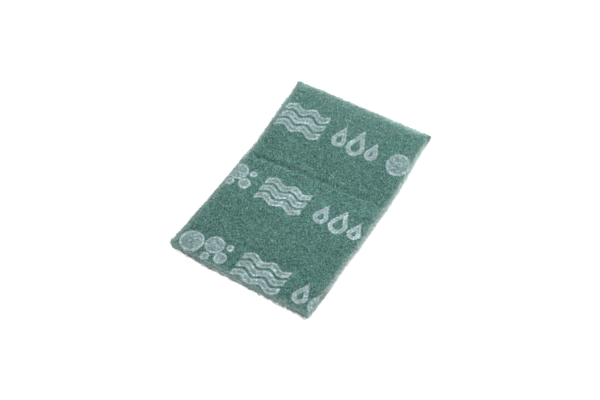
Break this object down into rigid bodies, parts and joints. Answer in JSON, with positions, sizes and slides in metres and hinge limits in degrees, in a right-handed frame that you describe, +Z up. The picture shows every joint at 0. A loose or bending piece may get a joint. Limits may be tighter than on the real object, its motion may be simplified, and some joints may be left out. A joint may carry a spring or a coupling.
{
  "type": "scouring pad",
  "caption": "Rectangular nonwoven hand scouring pad, bent across its width, with its longer part flat and the other raised.",
  "frame": {"origin": "under the middle of the pad's box, at the height of the surface that it lies on", "axes": "+X across the pad's width, +Y along its length towards the raised end, +Z up through its thickness"},
  "size_m": [0.1544, 0.2274, 0.0259],
  "materials": {
    "web": "matt green abrasive nonwoven nylon web"
  },
  "bodies": {
    "root": {"scouring_pad": "web"}
  },
  "joints": []
}
